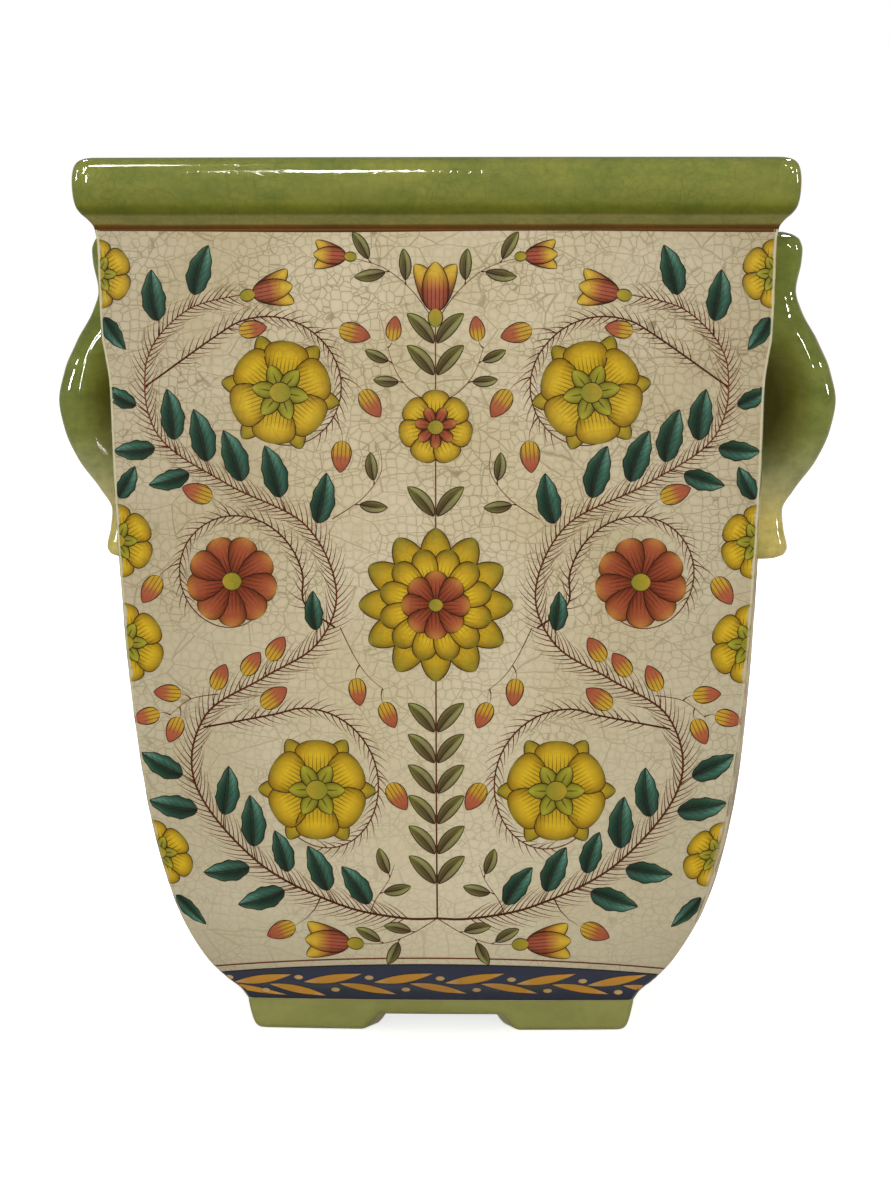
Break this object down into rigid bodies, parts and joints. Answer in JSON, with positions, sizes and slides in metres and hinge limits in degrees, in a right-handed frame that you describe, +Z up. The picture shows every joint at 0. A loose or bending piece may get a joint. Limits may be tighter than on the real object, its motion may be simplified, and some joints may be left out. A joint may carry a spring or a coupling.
{
  "type": "square planter pot",
  "caption": "Square glazed planter pot with bulged tapering walls, a rolled rim, dished lug handles at the sides and a low bracket foot.",
  "frame": {"origin": "on the ground, under the middle of the pot", "axes": "+Z up, the front face towards -Y, the handles on the -X and +X faces"},
  "size_m": [0.2976, 0.2556, 0.315],
  "materials": {
    "cream_crackle_glaze": "glossy cream crackle glaze over a printed pattern",
    "green_glaze": "glossy olive green glaze",
    "plain_lining_glaze": "plain cream glaze, less glossy"
  },
  "bodies": {
    "root": {"foot_ring": "green_glaze", "floor_slab": "plain_lining_glaze", "front_wall": "cream_crackle_glaze", "right_wall": "cream_crackle_glaze", "back_wall": "cream_crackle_glaze", "left_wall": "cream_crackle_glaze", "rim_moulding": "green_glaze", "right_handle": "green_glaze", "left_handle": "green_glaze"}
  },
  "joints": []
}
